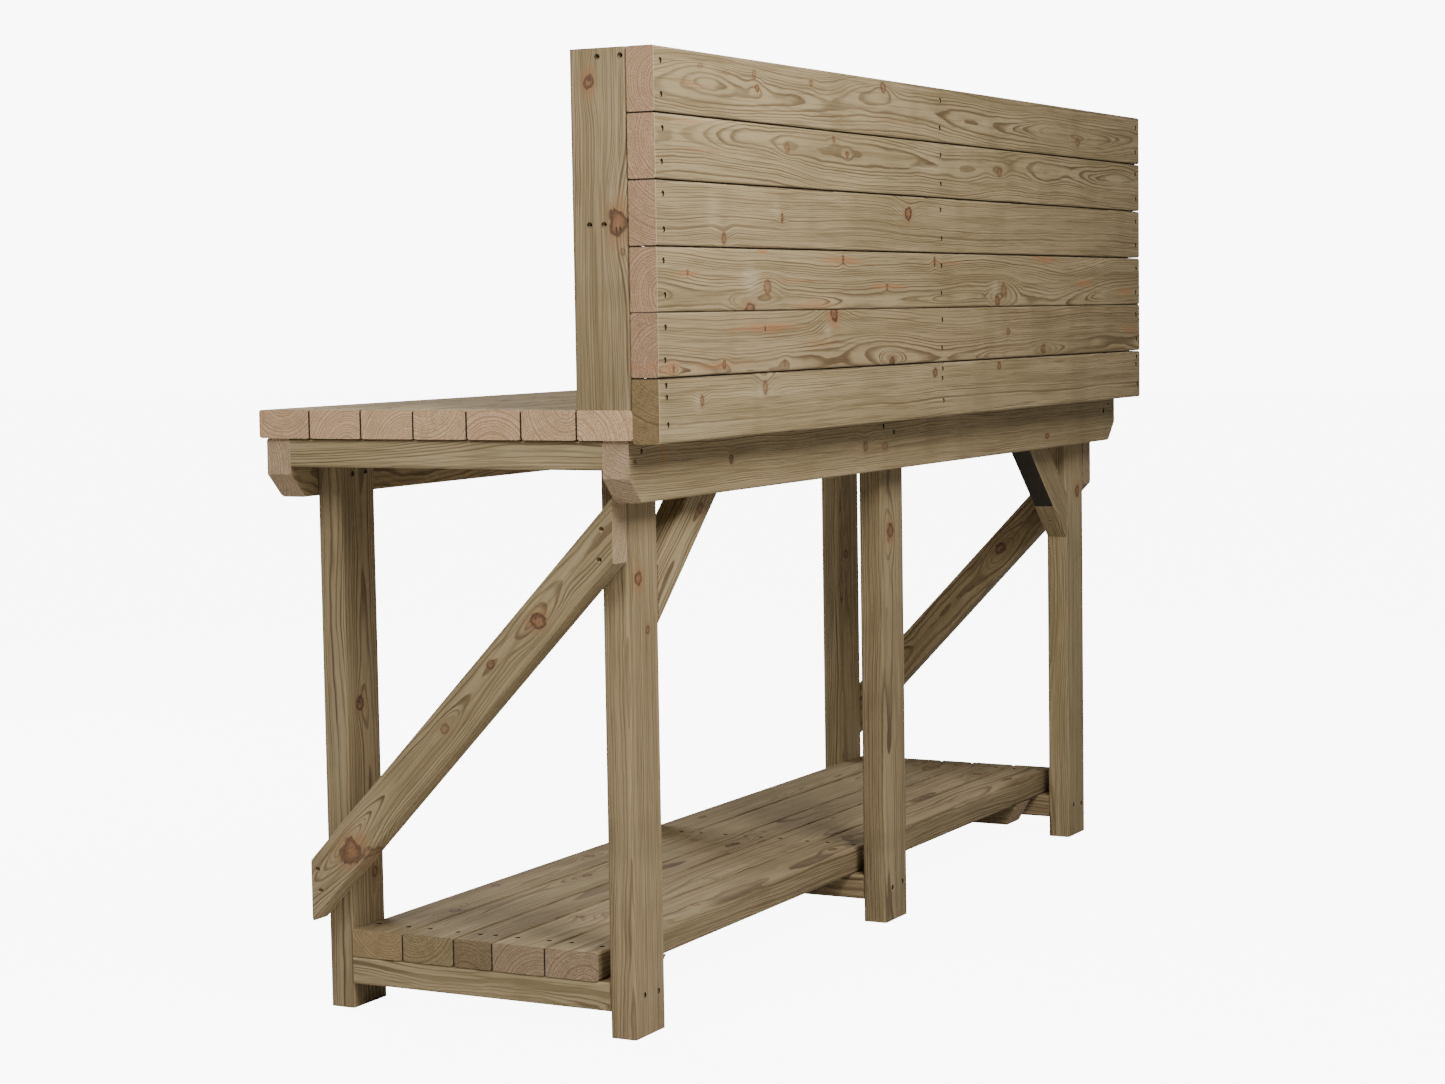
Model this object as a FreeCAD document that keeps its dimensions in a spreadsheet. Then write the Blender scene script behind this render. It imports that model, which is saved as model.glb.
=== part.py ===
import FreeCAD, Part

import math
import os

import Sketcher
from FreeCAD import Placement, Rotation, Vector

# A timber potting bench: a slatted worktop on six legs, a boarded back with two narrow shelves,
# a low shelf under the worktop, diagonal braces at both ends, and countersunk screws throughout.
# Millimetres. X runs along the bench, Y from the front edge to the boarded back, Z up from the ground.
# The origin is on the ground, under the middle of the whole bench.

DRIVING = [
    ("thick", 45, "thickness of every timber"),
    ("board", 95, "width of the wide timber"),
    ("batten", 70, "width of the narrow timber"),
    ("eased", 5, "radius of the eased long edges"),
    ("back_wide", 96, "width of a board of the back, a wide timber a little swollen with damp"),
    ("back_eased", 4.2, "radius of the eased long edges of the back's boards"),
    ("bench_long", 2100, "length of the worktop and of the boarded back"),
    ("worktop_top", 965, "height of the working surface"),
    ("worktop_gap", 1.5, "gap between two worktop boards"),
    ("back_gap", 1, "gap between two boards of the back"),
    ("post_clear", 1.5, "gap between the back's posts and its boards"),
    ("back_drop", 5, "how far the back reaches below the worktop's underside"),
    ("edge_inset", 10, "rails set in from the worktop's front and rear edges"),
    ("end_inset", 5, "rail ends set in from the worktop's ends"),
    ("rail_bevel", 38, "bevel at the lower corners of the rails"),
    ("foot_clear", 40, "height of the lower cross rails above the ground"),
    ("shelf_gap", 1, "gap between two shelf boards"),
    ("cleat_middle", 790, "middle of a shelf cleat from the middle of the bench"),
    ("cleat_undercut", 25, "slope of a cleat's rear end"),
    ("ledge_middle", 1237.5, "height of the middle of the lower back shelf"),
    ("brace_low", 147, "height of an end brace's lowest corner"),
    ("brace_rise", 587, "rise of an end brace from leg to leg"),
    ("knee_low", 630, "height of a knee brace's lowest corner"),
    ("knee_reach", 312, "how far a knee brace reaches along the rail"),
    ("screw_long", 80, "length of every screw"),
    ("screw_radius", 2, "radius of the screw's shank"),
    ("screw_tip", 8, "length of the screw's point"),
    ("head_radius", 4.4, "radius of the screw's head"),
    ("head_deep", 3.4, "height of the screw's conical head"),
    ("head_sunk", 2.5, "how far a head lies under the surface"),
    ("bore_above", 9, "how far a bore is carried on above the head"),
]
WORKTOP_BOARDS = 7
BACK_BOARDS = 6
OPEN_SEAMS = (0, 1, 2, 3, 3, 4)  # open seams above each board of the back: boards 4 and 5 lie edge to edge
SHELF_WIDTHS = ("board", "board", "batten", "board", "board")
EDGE_MARGIN = 20
SCATTER = 2

doc = FreeCAD.newDocument("potting_bench")
sheet = doc.addObject("Spreadsheet::Sheet", "Sizes")
for row, (alias, number, note) in enumerate(DRIVING, start=1):
    sheet.set(f"A{row}", alias)
    sheet.set(f"B{row}", str(number))
    sheet.set(f"C{row}", note)
    sheet.setAlias(f"B{row}", alias)
doc.recompute()


class Size:
    """A length that carries its value together with the sheet expression that gives it."""

    def __init__(self, value, text):
        self.value = float(value)
        self.text = text

    def joined(self, other, sign, value):
        return Size(value, f"({self.text} {sign} {as_size(other).text})")

    def __add__(self, other):
        return self.joined(other, "+", self.value + as_size(other).value)

    def __sub__(self, other):
        return self.joined(other, "-", self.value - as_size(other).value)

    def __mul__(self, other):
        return self.joined(other, "*", self.value * as_size(other).value)

    def __truediv__(self, other):
        return self.joined(other, "/", self.value / as_size(other).value)

    def __neg__(self):
        return Size(-self.value, f"(-1 * {self.text})")


def as_size(thing):
    """Give plain numbers the same form as the sizes of the sheet."""
    if isinstance(thing, Size):
        return thing
    return Size(thing, f"({thing})")


def size(alias):
    return Size(sheet.get(alias), f"Sizes.{alias}")


def root(square):
    return Size(math.sqrt(square.value), f"sqrt({square.text})")


# ---------------------------------------------------------------- levels and lines of the bench

thick = size("thick")
board = size("board")
batten = size("batten")
nought = as_size(0)

worktop_deep = board * WORKTOP_BOARDS + size("worktop_gap") * (WORKTOP_BOARDS - 1)
bench_deep = worktop_deep + thick
front_edge = -bench_deep / 2
back_face = bench_deep / 2 - thick
half_long = size("bench_long") / 2
worktop_under = size("worktop_top") - thick
rail_under = worktop_under - board
rail_long = size("bench_long") - size("end_inset") * 2
rail_end = half_long - size("end_inset")
front_rail_y = front_edge + size("edge_inset")
rear_rail_y = back_face - size("edge_inset") - thick
front_leg_y = front_rail_y + thick
rear_leg_y = rear_rail_y - thick
end_leg_x = rail_end - batten - board
legs_apart = rear_leg_y - front_leg_y - thick
cross_top = size("foot_clear") + thick
back_under = worktop_under - size("back_drop")
back_top = back_under + size("back_wide") * BACK_BOARDS + size("back_gap") * OPEN_SEAMS[-1]
post_front = back_face - board - size("post_clear")
inner_post_x = half_long - thick


# ---------------------------------------------------------------- making one timber

PLANES = {"X": "YZ_Plane", "Y": "XZ_Plane", "Z": "XY_Plane"}
pieces = {}


def origin_plane(body, role):
    return next(item for item in body.Origin.OriginFeatures if item.Role == role)


def locked_sketch(body, plane, corners):
    """Draw a closed outline whose every corner is tied to the sheet."""
    sketch = body.newObject("Sketcher::SketchObject", "Outline")
    sketch.AttachmentSupport = [(origin_plane(body, plane), "")]
    sketch.MapMode = "FlatFace"
    spots = [Vector(u.value, v.value, 0) for u, v in corners]
    for start, end in zip(spots, spots[1:] + spots[:1]):
        sketch.addGeometry(Part.LineSegment(start, end), False)
    for side in range(len(spots)):
        sketch.addConstraint(Sketcher.Constraint("Coincident", side, 2, (side + 1) % len(spots), 1))
    for side, (u, v) in enumerate(corners):
        for kind, axis, length in (("DistanceX", -2, u), ("DistanceY", -1, v)):
            if length.value == 0:
                sketch.addConstraint(Sketcher.Constraint("PointOnObject", side, 1, axis))
                continue
            number = sketch.addConstraint(Sketcher.Constraint(kind, -1, 1, side, 1, length.value))
            sketch.setExpression(f"Constraints[{number}]", length.text)
    return sketch


def long_edges(shape):
    """The edges along the grain: all those longer than a third of the longest."""
    longest = max(edge.Length for edge in shape.Edges)
    return [f"Edge{number}" for number, edge in enumerate(shape.Edges, start=1)
            if edge.Length > longest / 3]


def timber(name, across, corners, deep, corner, eased_by="eased"):
    """Saw one timber: an outline seen along the axis `across`, a depth, and its lowest corner."""
    body = doc.addObject("PartDesign::Body", name)
    body.Label = name
    sketch = locked_sketch(body, PLANES[across], corners)
    pad = body.newObject("PartDesign::Pad", "Sawn")
    pad.Profile = sketch
    pad.setExpression("Length", deep.text)
    pad.Reversed = across == "Y"
    doc.recompute()
    eased = body.newObject("PartDesign::Fillet", "EasedEdges")
    eased.Base = (pad, long_edges(pad.Shape))
    eased.setExpression("Radius", f"Sizes.{eased_by}")
    body.Tip = eased
    for letter, place in zip("xyz", corner):
        body.setExpression(f"Placement.Base.{letter}", place.text)
    pieces[name] = body
    return body


def rectangle(u, v):
    return [(nought, nought), (u, nought), (u, v), (nought, v)]


def along_x(name, wide, corner, end):
    """A timber laid flat along X, from the corner to the given end."""
    return timber(name, "Z", rectangle(end - corner[0], wide), thick, corner)


# ---------------------------------------------------------------- frame

def rail(name, front_face):
    """A rail on edge with both lower corners bevelled."""
    bevel = size("rail_bevel")
    outline = [(bevel, nought), (rail_long - bevel, nought), (rail_long, bevel),
               (rail_long, board), (nought, board), (nought, bevel)]
    timber(name, "Y", outline, thick, (-rail_end, front_face, rail_under))


rail("front_rail", front_rail_y)
rail("rear_rail", rear_rail_y)

LEG_LEFT_SIDES = {"left": -(end_leg_x + board), "middle": -board / 2, "right": end_leg_x}
for place, left in LEG_LEFT_SIDES.items():
    for row, face in (("front", front_leg_y), ("rear", rear_leg_y)):
        timber(f"{row}_leg_{place}", "Y", rectangle(board, worktop_under), thick, (left, face, nought))
    timber(f"lower_cross_rail_{place}", "Z", rectangle(board, legs_apart), thick,
           (left, front_leg_y + thick, size("foot_clear")))

UPPER_CROSS_RAILS = {"left": (-rail_end, batten), "middle": (board / 2, board),
                     "right": (rail_end - batten, batten)}
for place, (left, wide) in UPPER_CROSS_RAILS.items():
    timber(f"upper_cross_rail_{place}", "Z", rectangle(wide, rear_rail_y - front_leg_y), thick,
           (left, front_leg_y, worktop_under - thick))


def end_brace(name, left):
    """A diagonal across one end, from the foot of the front leg to the head of the rear leg."""
    run = rear_rail_y - front_leg_y
    rise = size("brace_rise")
    cut = batten * root(run * run + rise * rise) / run
    outline = [(nought, nought), (run, rise), (run, rise + cut), (nought, cut)]
    timber(name, "X", outline, thick, (left, front_leg_y, size("brace_low")))


end_brace("end_brace_right", end_leg_x + board)
end_brace("end_brace_left", -(end_leg_x + board + thick))


def knee_brace(name, left, to_the_right):
    """A short brace from an end leg's inner face up behind the rear rail to the worktop."""
    reach = size("knee_reach")
    rise = worktop_under - size("knee_low")
    slope_long = root(reach * reach + rise * rise)
    leg_cut = batten * slope_long / reach
    top_cut = batten * slope_long / rise
    outline = [(nought, rise), (reach, nought), (reach, leg_cut), (top_cut, rise)]
    if not to_the_right:
        outline = [(reach - u, v) if u.value < reach.value else (nought, v) for u, v in outline]
    timber(name, "Y", outline, thick, (left, rear_leg_y, size("knee_low")))


knee_brace("knee_brace_right", end_leg_x - size("knee_reach"), True)
knee_brace("knee_brace_left", -end_leg_x, False)

# ---------------------------------------------------------------- boards

for number in range(WORKTOP_BOARDS):
    near_side = front_edge + (board + size("worktop_gap")) * number
    along_x(f"worktop_board_{number + 1}", board, (-half_long, near_side, worktop_under), half_long)

shelf_edge = front_leg_y + thick
shelf_end_x = end_leg_x + board
for number, alias in enumerate(SHELF_WIDTHS):
    along_x(f"shelf_board_{number + 1}", size(alias), (-shelf_end_x, shelf_edge, cross_top), shelf_end_x)
    shelf_edge = shelf_edge + size(alias) + size("shelf_gap")
shelf_deep = shelf_edge - size("shelf_gap") - front_leg_y - thick

for place, side in (("left", -size("cleat_middle")), ("right", size("cleat_middle"))):
    cleat_outline = [(nought, nought), (shelf_deep - size("cleat_undercut"), nought),
                     (shelf_deep, thick), (nought, thick)]
    timber(f"shelf_cleat_{place}", "X", cleat_outline, batten,
           (side - batten / 2, front_leg_y + thick, size("foot_clear")))

# ---------------------------------------------------------------- boarded back

for number in range(BACK_BOARDS):
    level = back_top - size("back_wide") * (number + 1) - size("back_gap") * OPEN_SEAMS[number]
    timber(f"back_board_{number + 1}", "Y", rectangle(size("bench_long"), size("back_wide")), thick,
           (-half_long, back_face, level), "back_eased")

POST_LEFT_SIDES = {"left": -half_long, "middle": -thick / 2, "right": inner_post_x}
for place, left in POST_LEFT_SIDES.items():
    timber(f"back_post_{place}", "X", rectangle(board, back_top - size("worktop_top")), thick,
           (left, post_front, size("worktop_top")))

BAYS = {"left": (-inner_post_x, -thick / 2), "right": (thick / 2, inner_post_x)}
for place, (start, end) in BAYS.items():
    along_x(f"top_ledge_{place}", batten, (start, back_face - batten, back_top - thick), end)
    along_x(f"back_shelf_{place}", board, (start, post_front, size("ledge_middle") - thick / 2), end)

doc.recompute()

# ---------------------------------------------------------------- screws

def turned_master(name, corners):
    """Turn an outline of (radius, height) corners about the Z axis."""
    body = doc.addObject("PartDesign::Body", name)
    sketch = locked_sketch(body, "XZ_Plane", corners)
    turned = body.newObject("PartDesign::Revolution", "Turned")
    turned.Profile = sketch
    turned.ReferenceAxis = (sketch, ["V_Axis"])
    turned.Angle = 360
    body.Tip = turned
    doc.recompute()
    return body


shank = size("screw_radius")
head = size("head_radius")
head_top = size("screw_long")
shank_outline = [(nought, nought), (shank, size("screw_tip")), (shank, head_top - size("head_deep"))]
screw_master = turned_master("screw_master", shank_outline + [(head, head_top), (nought, head_top)])
bore_top = head_top + size("bore_above")
bore_master = turned_master(
    "bore_master", shank_outline + [(head, head_top), (head, bore_top), (nought, bore_top)])

UP = Vector(0, 0, 1)
DOWN = Vector(0, 0, -1)
FORWARD = Vector(0, -1, 0)
BACKWARD = Vector(0, 1, 0)
TO_LEFT = Vector(-1, 0, 0)
TO_RIGHT = Vector(1, 0, 0)

bores = []
screw_groups = {}


def scatter(number):
    """A hand-driven screw misses its mark a little, never by more than SCATTER."""
    return SCATTER * math.sin(2.4 * number + 0.7)


def drive(name, starts):
    """Drive a group of screws, each given as a point on the surface, a direction and a sinking."""
    screws = []
    for point, direction, sunk in starts:
        tip = point + direction * (sunk + head_top.value)
        place = Placement(tip, Rotation(UP, direction * -1))
        screws.append(screw_master.Shape.transformed(place.toMatrix()))
        bores.append(bore_master.Shape.transformed(place.toMatrix()))
    group = doc.addObject("Part::Feature", name)
    group.Label = name
    group.Shape = Part.makeCompound(screws)
    screw_groups[name] = group


def box_of(name):
    return pieces[name].Shape.BoundBox


sunk = size("head_sunk").value
SKEW_SUNK = 5
ends = ("left", "middle", "right")

# The worktop: two screws a board into each upper cross rail, or into the rail at its end.
OFF_CENTRE = {"left": 12, "middle": -12, "right": -12}
starts = []
for number in range(1, WORKTOP_BOARDS + 1):
    plank = box_of(f"worktop_board_{number}")
    for place in ends:
        x = box_of(f"upper_cross_rail_{place}").Center.x + OFF_CENTRE[place]
        for y in (plank.YMin + EDGE_MARGIN, plank.YMax - EDGE_MARGIN):
            spot = Vector(x + scatter(len(starts)), y + scatter(len(starts) + 5), plank.ZMax)
            starts.append((spot, DOWN, sunk))
drive("worktop_screws", starts)

# The low shelf: two screws a board into each lower cross rail.
starts = []
for number in range(1, len(SHELF_WIDTHS) + 1):
    plank = box_of(f"shelf_board_{number}")
    for place in ends:
        x = box_of(f"lower_cross_rail_{place}").Center.x
        for y in (plank.YMin + EDGE_MARGIN, plank.YMax - EDGE_MARGIN):
            spot = Vector(x + scatter(len(starts)), y + scatter(len(starts) + 3), plank.ZMax)
            starts.append((spot, DOWN, sunk))
drive("shelf_screws", starts)

# The cleats: one screw a board, from below.
starts = []
for place in ("left", "right"):
    cleat = box_of(f"shelf_cleat_{place}")
    for number in range(1, len(SHELF_WIDTHS) + 1):
        plank = box_of(f"shelf_board_{number}")
        starts.append((Vector(cleat.Center.x, plank.Center.y, cleat.ZMin), UP, sunk))
drive("cleat_screws", starts)

# The boarded back: two screws a board into each post. The lowest board has two into each post near its
# upper edge and one into the edge of the worktop, each as (along, above the board's lower edge).
BACK_SCREWS = ((0, 25), (0, 75))
LOWEST_SCREWS = ((-6, 27), (0, 69), (0, 85))
starts = []
for number in range(1, BACK_BOARDS + 1):
    plank = box_of(f"back_board_{number}")
    for place in ends:
        x = box_of(f"back_post_{place}").Center.x
        for along, up in LOWEST_SCREWS if number == BACK_BOARDS else BACK_SCREWS:
            along = along + scatter(len(starts) + 1)
            up = up + scatter(len(starts) + 4) / 2
            starts.append((Vector(x + along, plank.YMax, plank.ZMin + up), FORWARD, sunk))
drive("back_board_screws", starts)

# The end posts: two screws into the end of each ledge and each back shelf.
starts = []
for place, direction in (("left", TO_RIGHT), ("right", TO_LEFT)):
    post = box_of(f"back_post_{place}")
    face = post.XMax if place == "right" else post.XMin
    for shelf, shares, lift in (("top_ledge", (0.31, 0.86), 9.5), ("back_shelf", (0.32, 0.58), 0)):
        plank = box_of(f"{shelf}_{place}")
        for share in shares:
            y = plank.YMin + share * plank.YLength
            starts.append((Vector(face, y, plank.Center.z + lift), direction, sunk))
drive("end_post_screws", starts)

# The middle post: the ledges and shelves are skew-screwed to it from above.
SKEW_START = 32
starts = []
for place, side, shares in (("left", -1, (0.2, 0.55)), ("right", 1, (0.35, 0.7))):
    for shelf in ("top_ledge", "back_shelf"):
        plank = box_of(f"{shelf}_{place}")
        x = side * (thick.value / 2 + SKEW_START)
        for share in shares:
            spot = Vector(x, plank.YMin + share * plank.YLength, plank.ZMax)
            starts.append((spot, Vector(-side, 0, -1).normalize(), SKEW_SUNK))
drive("middle_post_screws", starts)

# The rails: two screws, never quite level, into the end of each upper cross rail.
RAIL_SCREW_OFFSETS = {
    "left": ((2, 4.5), (31, -9.5)), "middle": ((-4, -6.5), (40, 5.5)), "right": ((15, -8.5), (-3, 6.5))}
starts = []
for place, offsets in RAIL_SCREW_OFFSETS.items():
    cross = box_of(f"upper_cross_rail_{place}")
    for along, up in offsets:
        x = cross.Center.x + along
        z = cross.Center.z + up
        starts.append((Vector(x, box_of("rear_rail").YMax, z), FORWARD, sunk))
        starts.append((Vector(x, box_of("front_rail").YMin, z), BACKWARD, sunk))
drive("rail_screws", starts)

# The legs: two screws into the rail at the head, two into the lower cross rail at the foot.
HEAD_SHARES = (0.28, 0.66)
FOOT_SHARES = (0.23, 0.69)
HEAD_LEVEL = 860
FOOT_LEVEL = 63
head_starts = []
foot_starts = []
for place in ends:
    for row, inward in (("front", BACKWARD), ("rear", FORWARD)):
        leg = box_of(f"{row}_leg_{place}")
        inner = leg.YMax if row == "front" else leg.YMin
        outer = leg.YMin if row == "front" else leg.YMax
        for share in HEAD_SHARES:
            spot = Vector(leg.XMin + share * leg.XLength, inner, HEAD_LEVEL + scatter(len(head_starts)))
            head_starts.append((spot, inward * -1, sunk))
        for share in FOOT_SHARES:
            spot = Vector(leg.XMin + share * leg.XLength, outer, FOOT_LEVEL + scatter(len(foot_starts)))
            foot_starts.append((spot, inward, sunk))
drive("leg_head_screws", head_starts)
drive("leg_foot_screws", foot_starts)

# The end braces: two screws into each leg, from outside.
BRACE_SCREWS = ((16, 85), (21, 51), (549, 639), (544, 593))
starts = []
for place, direction in (("left", TO_RIGHT), ("right", TO_LEFT)):
    brace = box_of(f"end_brace_{place}")
    face = brace.XMax if place == "right" else brace.XMin
    for along, up in BRACE_SCREWS:
        starts.append((Vector(face, brace.YMin + along, brace.ZMin + up), direction, sunk))
drive("end_brace_screws", starts)

# The knee braces: two screws into the rail, and one driven level through the lower edge into the leg.
KNEE_HEIGHTS = (225, 260)
TOE_HEIGHT = 40
TOE_SUNK = 9
starts = []
for place, direction in (("left", TO_LEFT), ("right", TO_RIGHT)):
    knee = box_of(f"knee_brace_{place}")
    slope = knee.ZLength / knee.XLength
    leg_face = knee.XMax if place == "right" else knee.XMin
    half_cut = batten.value * math.hypot(knee.XLength, knee.ZLength) / knee.XLength / 2
    for up in KNEE_HEIGHTS:
        x = leg_face - direction.x * (up - half_cut) / slope
        starts.append((Vector(x, knee.YMin, knee.ZMin + up), BACKWARD, sunk))
    toe = Vector(leg_face - direction.x * TOE_HEIGHT / slope, knee.Center.y, knee.ZMin + TOE_HEIGHT)
    starts.append((toe, direction, TOE_SUNK))
drive("knee_brace_screws", starts)

# ---------------------------------------------------------------- boring the timbers

def bored(name, stock):
    """Cut the bores that meet a timber out of it. The result takes the timber's name."""
    meeting = [bore for bore in bores if bore.BoundBox.intersect(stock.Shape.BoundBox)
               and bore.common(stock.Shape).Volume > 1]
    if not meeting:
        return stock
    tool = doc.addObject("Part::Feature", f"{name}_bores")
    tool.Shape = Part.makeCompound(meeting)
    stock.Label = f"{name}_stock"
    cut = doc.addObject("Part::Cut", f"{name}_bored")
    cut.Base = stock
    cut.Tool = tool
    cut.Label = name
    return cut


finished = {name: bored(name, stock) for name, stock in pieces.items()}
doc.recompute()
finished.update(screw_groups)

# ---------------------------------------------------------------- checking and writing

for item in doc.Objects:
    if any(word in state for state in item.State for word in ("Invalid", "Error")):
        raise RuntimeError(f"{item.Label} did not compute")
for name, stock in pieces.items():
    if finished[name] is not stock and finished[name].Shape.Volume >= stock.Shape.Volume:
        raise RuntimeError(f"the bores cut nothing from {name}")
for name, item in finished.items():
    if item.Shape.isNull() or not item.Shape.isValid():
        raise RuntimeError(f"{name} has no sound shape")

os.makedirs("parts", exist_ok=True)
for name, item in finished.items():
    item.Shape.exportStep(f"parts/{name}.step")

whole = FreeCAD.BoundBox()
for item in finished.values():
    whole.add(item.Shape.BoundBox)
print(len(finished), "nodes")
print("X", round(whole.XMin, 2), round(whole.XMax, 2))
print("Y", round(whole.YMin, 2), round(whole.YMax, 2))
print("Z", round(whole.ZMin, 2), round(whole.ZMax, 2))
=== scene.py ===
import math
import random

import bmesh
import bpy
from mathutils import Matrix, Vector


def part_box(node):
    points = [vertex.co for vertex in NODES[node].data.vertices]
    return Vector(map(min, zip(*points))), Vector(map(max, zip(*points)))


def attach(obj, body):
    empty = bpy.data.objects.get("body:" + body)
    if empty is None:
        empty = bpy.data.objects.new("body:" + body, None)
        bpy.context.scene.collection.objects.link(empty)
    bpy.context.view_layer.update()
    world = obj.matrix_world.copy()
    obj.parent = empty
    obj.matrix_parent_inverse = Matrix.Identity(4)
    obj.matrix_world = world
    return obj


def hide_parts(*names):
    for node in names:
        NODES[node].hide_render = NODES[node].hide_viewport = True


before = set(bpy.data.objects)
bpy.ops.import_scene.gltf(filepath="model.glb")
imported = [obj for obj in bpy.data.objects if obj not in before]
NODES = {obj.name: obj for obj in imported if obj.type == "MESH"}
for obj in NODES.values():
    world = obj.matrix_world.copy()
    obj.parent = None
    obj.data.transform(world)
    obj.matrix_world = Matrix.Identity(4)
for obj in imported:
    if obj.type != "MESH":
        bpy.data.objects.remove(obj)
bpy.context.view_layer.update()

# Metres throughout. X runs along the bench, Y from the front edge to the boarded back, Z up.

SCREW_GROUPS = sorted(name for name in NODES if name.endswith("_screws"))
TIMBERS = sorted(name for name in NODES if not name.endswith("_screws"))

# ---------------------------------------------------------------- marks in the wood
# Knots: distance along the timber from its middle, distance across, how long, how wide, and how dark.
# Across is towards the top on the boarded back, and towards the back on the worktop and shelf.
# A knot with no darkness is a swirl in the rings over a knot that lies deeper.

KNOTS = {
    "back_board_1": [(0.87, 0.022, 0.050, 0.012, 0.0), (0.905, 0.027, 0.013, 0.005, 0.35),
                     (0.82, 0.022, 0.014, 0.004, 0.30), (0.716, 0.004, 0.007, 0.007, 0.8),
                     (0.727, 0.025, 0.007, 0.007, 0.5), (0.524, 0.024, 0.007, 0.006, 0.6),
                     (0.242, 0.034, 0.011, 0.010, 0.6), (0.33, 0.030, 0.030, 0.014, 0.0),
                     (-0.69, -0.018, 0.012, 0.008, 0.6)],
    "back_board_2": [(0.614, 0.015, 0.009, 0.008, 0.5), (0.440, 0.036, 0.006, 0.006, 0.7),
                     (0.389, 0.012, 0.005, 0.006, 0.7),
                     (-0.276, 0.006, 0.012, 0.009, 0.5), (-0.52, 0.000, 0.02, 0.010, 0.0)],
    "back_board_3": [(0.835, -0.035, 0.008, 0.011, 0.7), (0.635, 0.000, 0.005, 0.008, 0.75),
                     (0.143, 0.017, 0.014, 0.013, 0.95)],
    "back_board_4": [(0.691, -0.011, 0.013, 0.014, 0.6), (0.752, -0.047, 0.018, 0.012, 0.8),
                     (0.410, 0.034, 0.004, 0.008, 0.9), (0.955, 0.010, 0.003, 0.005, 0.8),
                     (0.235, -0.012, 0.004, 0.006, 0.8), (-0.296, -0.018, 0.016, 0.014, 0.55),
                     (-0.262, -0.038, 0.011, 0.009, 0.8), (0.03, 0.034, 0.005, 0.009, 0.9)],
    "back_board_5": [(0.447, 0.041, 0.018, 0.016, 0.95), (0.84, -0.033, 0.006, 0.007, 0.8),
                     (0.632, -0.034, 0.005, 0.007, 0.5), (0.70, 0.020, 0.003, 0.004, 0.8),
                     (1.003, -0.036, 0.004, 0.006, 0.8), (0.217, -0.042, 0.012, 0.010, 0.8),
                     (-0.314, 0.002, 0.009, 0.007, 0.6), (-0.494, -0.034, 0.014, 0.010, 0.7)],
    "back_board_6": [(0.915, 0.012, 0.006, 0.009, 0.8), (0.703, 0.025, 0.009, 0.012, 0.6),
                     (0.032, 0.032, 0.010, 0.009, 0.8), (-0.268, 0.035, 0.009, 0.008, 0.8)],
    "back_post_right": [(0.216, -0.015, 0.012, 0.010, 0.8), (0.010, 0.030, 0.021, 0.016, 0.85),
                        (-0.032, 0.038, 0.007, 0.005, 0.5)],
    "rear_leg_right": [(0.246, 0.016, 0.013, 0.012, 0.8), (0.165, -0.012, 0.008, 0.007, 0.8)],
    "front_leg_right": [(0.030, 0.010, 0.012, 0.010, 0.9), (-0.25, -0.02, 0.010, 0.008, 0.7)],
    "rear_leg_middle": [(0.249, 0.011, 0.014, 0.014, 0.8)],
    "rear_leg_left": [(0.262, -0.013, 0.012, 0.011, 0.8)],
    "front_leg_left": [(0.12, 0.02, 0.012, 0.010, 0.7)],
    "end_brace_right": [(0.215, -0.002, 0.014, 0.013, 0.8), (0.105, 0.012, 0.008, 0.007, 0.7),
                        (-0.03, 0.002, 0.009, 0.008, 0.6), (-0.303, -0.008, 0.023, 0.019, 0.75),
                        (-0.281, -0.031, 0.013, 0.008, 0.6)],
    "end_brace_left": [(0.14, 0.002, 0.014, 0.012, 0.8), (-0.2, 0.01, 0.010, 0.009, 0.7)],
    "upper_cross_rail_right": [(0.235, 0.0, 0.012, 0.010, 0.6), (-0.18, 0.01, 0.020, 0.012, 0.3)],
}

# Resin blushes: the same five figures.
BLUSHES = {
    "back_board_1": [(0.93, -0.002, 0.070, 0.004, 0.5), (0.2, -0.02, 0.15, 0.004, 0.3)],
    "back_board_2": [(0.95, 0.040, 0.10, 0.004, 0.6), (0.93, -0.002, 0.10, 0.003, 0.4)],
    "back_board_4": [(0.705, 0.046, 0.025, 0.008, 1.0), (0.415, 0.032, 0.110, 0.009, 0.9),
                     (0.955, 0.008, 0.050, 0.006, 0.8), (0.235, -0.010, 0.090, 0.006, 0.8),
                     (0.52, -0.040, 0.110, 0.010, 0.6), (-0.51, 0.040, 0.080, 0.009, 0.9),
                     (-0.72, -0.004, 0.070, 0.010, 0.9), (-0.03, 0.032, 0.09, 0.006, 0.6),
                     (-0.96, -0.022, 0.060, 0.012, 0.8), (0.60, -0.002, 0.10, 0.006, 0.5)],
    "back_board_5": [(0.69, 0.022, 0.150, 0.010, 0.9), (0.447, 0.036, 0.030, 0.026, 0.9),
                     (1.02, -0.034, 0.045, 0.012, 1.0), (0.86, -0.034, 0.120, 0.008, 0.6),
                     (-0.99, -0.003, 0.060, 0.010, 0.8), (0.50, -0.004, 0.07, 0.014, 0.35)],
    "back_post_right": [(0.010, 0.030, 0.050, 0.022, 0.7), (0.216, -0.015, 0.030, 0.018, 0.7)],
    "rear_leg_right": [(0.246, 0.014, 0.030, 0.022, 0.9)],
    "rear_leg_middle": [(0.249, 0.011, 0.034, 0.024, 0.9)],
    "rear_leg_left": [(0.262, -0.012, 0.030, 0.020, 0.7)],
    "end_brace_right": [(-0.303, -0.008, 0.038, 0.027, 1.0), (0.215, 0.0, 0.026, 0.020, 0.6)],
    "worktop_board_1": [(0.6, 0.01, 0.2, 0.006, 0.5)],
    "worktop_board_4": [(-0.3, -0.01, 0.2, 0.006, 0.5)],
    "rear_rail": [(0.94, 0.022, 0.012, 0.030, 0.6)],
}

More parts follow.
